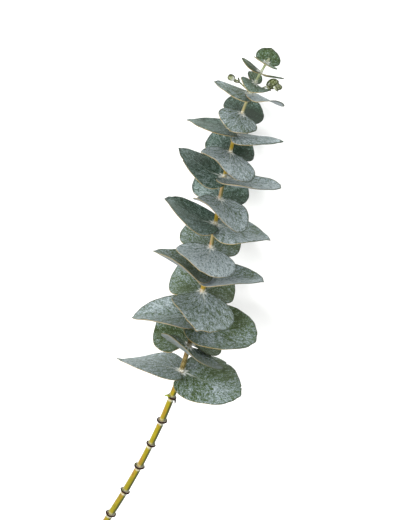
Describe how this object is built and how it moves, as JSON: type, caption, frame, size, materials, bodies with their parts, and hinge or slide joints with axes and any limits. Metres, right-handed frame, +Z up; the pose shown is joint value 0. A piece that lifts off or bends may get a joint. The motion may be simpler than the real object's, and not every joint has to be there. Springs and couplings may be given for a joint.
{
  "type": "eucalyptus branch",
  "caption": "Cut branch of young eucalyptus: a slender stem with opposite pairs of round grey-green leaves, bare below, with two small side shoots near the tip.",
  "frame": {"origin": "middle of the branch's box, at the height of the surface that it lies on", "axes": "+Y along the stem from its cut end to its tip, +Z up from the surface, +X to the right seen from above with the tip away"},
  "size_m": [0.0998, 0.4348, 0.0868],
  "materials": {
    "bark": "smooth young bark, olive yellow with a pinkish lit side and pale bloom at the nodes",
    "old_leaf": "leathery blade, blue grey under a matt wax bloom, olive where the bloom is rubbed off",
    "young_leaf": "leathery blade, grey green with little bloom",
    "shoot": "soft new growth, pale yellow green, slightly waxy"
  },
  "bodies": {
    "root": {"stem": "bark", "leaf_01_left": "old_leaf", "leaf_01_right": "old_leaf", "leaf_02_front": "old_leaf", "leaf_02_back": "old_leaf", "leaf_03_left": "old_leaf", "leaf_03_right": "old_leaf", "leaf_04_front": "old_leaf", "leaf_04_back": "old_leaf", "leaf_05_left": "old_leaf", "leaf_05_right": "old_leaf", "leaf_06_front": "old_leaf", "leaf_06_back": "old_leaf", "leaf_07_left": "old_leaf", "leaf_07_right": "old_leaf", "leaf_08_front": "old_leaf", "leaf_08_back": "old_leaf", "leaf_09_left": "old_leaf", "leaf_09_right": "old_leaf", "leaf_10_front": "old_leaf", "leaf_10_back": "old_leaf", "leaf_11_left": "old_leaf", "leaf_11_right": "old_leaf", "leaf_12_front": "young_leaf", "leaf_12_back": "young_leaf", "leaf_13_left": "young_leaf", "leaf_13_right": "young_leaf", "leaf_14_front": "young_leaf", "leaf_14_back": "young_leaf", "leaf_15_left": "young_leaf", "leaf_15_right": "young_leaf", "leaf_16_front": "young_leaf", "leaf_16_back": "young_leaf", "side_shoot_left": "shoot", "side_shoot_right": "shoot"}
  },
  "joints": []
}
